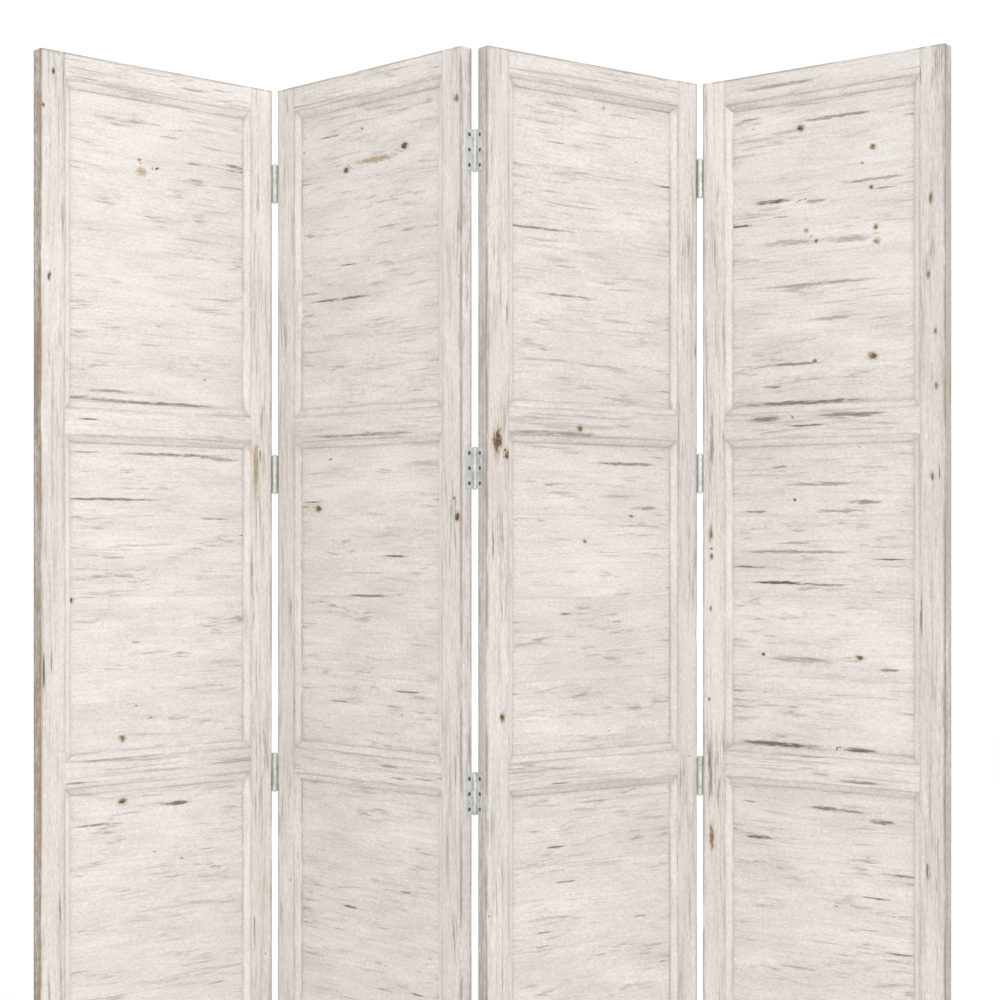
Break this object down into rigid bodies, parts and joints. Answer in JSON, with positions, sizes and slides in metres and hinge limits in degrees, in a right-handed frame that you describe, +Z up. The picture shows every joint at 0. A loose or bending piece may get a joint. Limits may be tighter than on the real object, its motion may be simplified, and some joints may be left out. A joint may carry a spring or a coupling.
{
  "type": "folding room divider screen",
  "caption": "Free-standing folding room divider of whitewashed pine: framed leaves with recessed panels, joined by butt hinges in a zig-zag.",
  "frame": {"origin": "on the floor, at the middle of the standing screen's plan", "axes": "+Z up, +X to the right along the screen as seen from the front, -Y towards the viewer in front"},
  "size_m": [1.6934, 0.3812, 2.134],
  "materials": {
    "whitewashed_pine_frame": "wire-brushed, limed and rubbed back",
    "whitewashed_pine_panel": "wire-brushed, limed and rubbed back, grain across the leaf",
    "whitewashed_pine_bead": "limed, with paint gathered in the corners",
    "bare_dowel": "bare beech",
    "zinc_plate": "dull zinc plate",
    "zinc_pin": "dull zinc plate",
    "hinge_screw": "dull steel, darker than the plate"
  },
  "bodies": {
    "leaf_1": {"leaf_1_left_stile": "whitewashed_pine_frame", "leaf_1_right_stile": "whitewashed_pine_frame", "leaf_1_panel_beads": "whitewashed_pine_bead", "leaf_1_dowels": "bare_dowel", "leaf_1_bottom_rail": "whitewashed_pine_frame", "leaf_1_lower_mid_rail": "whitewashed_pine_frame", "leaf_1_upper_mid_rail": "whitewashed_pine_frame", "leaf_1_top_rail": "whitewashed_pine_frame", "leaf_1_lower_panel": "whitewashed_pine_panel", "leaf_1_middle_panel": "whitewashed_pine_panel", "leaf_1_upper_panel": "whitewashed_pine_panel", "fold_1_left_hinge_plates": "zinc_plate", "fold_1_hinge_pins": "zinc_pin", "fold_1_left_screws": "hinge_screw"},
    "leaf_2": {"leaf_2_left_stile": "whitewashed_pine_frame", "leaf_2_right_stile": "whitewashed_pine_frame", "leaf_2_panel_beads": "whitewashed_pine_bead", "leaf_2_dowels": "bare_dowel", "leaf_2_bottom_rail": "whitewashed_pine_frame", "leaf_2_lower_mid_rail": "whitewashed_pine_frame", "leaf_2_upper_mid_rail": "whitewashed_pine_frame", "leaf_2_top_rail": "whitewashed_pine_frame", "leaf_2_lower_panel": "whitewashed_pine_panel", "leaf_2_middle_panel": "whitewashed_pine_panel", "leaf_2_upper_panel": "whitewashed_pine_panel", "fold_1_right_hinge_plates": "zinc_plate", "fold_1_right_screws": "hinge_screw", "fold_2_left_hinge_plates": "zinc_plate", "fold_2_hinge_pins": "zinc_pin", "fold_2_left_screws": "hinge_screw"},
    "leaf_3": {"leaf_3_left_stile": "whitewashed_pine_frame", "leaf_3_right_stile": "whitewashed_pine_frame", "leaf_3_panel_beads": "whitewashed_pine_bead", "leaf_3_dowels": "bare_dowel", "leaf_3_bottom_rail": "whitewashed_pine_frame", "leaf_3_lower_mid_rail": "whitewashed_pine_frame", "leaf_3_upper_mid_rail": "whitewashed_pine_frame", "leaf_3_top_rail": "whitewashed_pine_frame", "leaf_3_lower_panel": "whitewashed_pine_panel", "leaf_3_middle_panel": "whitewashed_pine_panel", "leaf_3_upper_panel": "whitewashed_pine_panel", "fold_2_right_hinge_plates": "zinc_plate", "fold_2_right_screws": "hinge_screw", "fold_3_left_hinge_plates": "zinc_plate", "fold_3_hinge_pins": "zinc_pin", "fold_3_left_screws": "hinge_screw"},
    "leaf_4": {"leaf_4_left_stile": "whitewashed_pine_frame", "leaf_4_right_stile": "whitewashed_pine_frame", "leaf_4_panel_beads": "whitewashed_pine_bead", "leaf_4_dowels": "bare_dowel", "leaf_4_bottom_rail": "whitewashed_pine_frame", "leaf_4_lower_mid_rail": "whitewashed_pine_frame", "leaf_4_upper_mid_rail": "whitewashed_pine_frame", "leaf_4_top_rail": "whitewashed_pine_frame", "leaf_4_lower_panel": "whitewashed_pine_panel", "leaf_4_middle_panel": "whitewashed_pine_panel", "leaf_4_upper_panel": "whitewashed_pine_panel", "fold_3_right_hinge_plates": "zinc_plate", "fold_3_right_screws": "hinge_screw"}
  },
  "joints": [
    {"name": "fold_1", "type": "hinge", "parent": "leaf_2", "child": "leaf_1", "pos_m": [-0.435, 0.1666, 1.067], "axis": [0, 0, 1], "range_deg": [-82.6, 97.4]},
    {"name": "fold_2", "type": "hinge", "parent": "leaf_2", "child": "leaf_3", "pos_m": [-0.02858, -0.15048, 1.067], "axis": [0, 0, 1], "range_deg": [-77, 103]},
    {"name": "fold_3", "type": "hinge", "parent": "leaf_3", "child": "leaf_4", "pos_m": [0.4162, 0.11006, 1.067], "axis": [0, 0, -1], "range_deg": [-71.3, 108.7]}
  ]
}
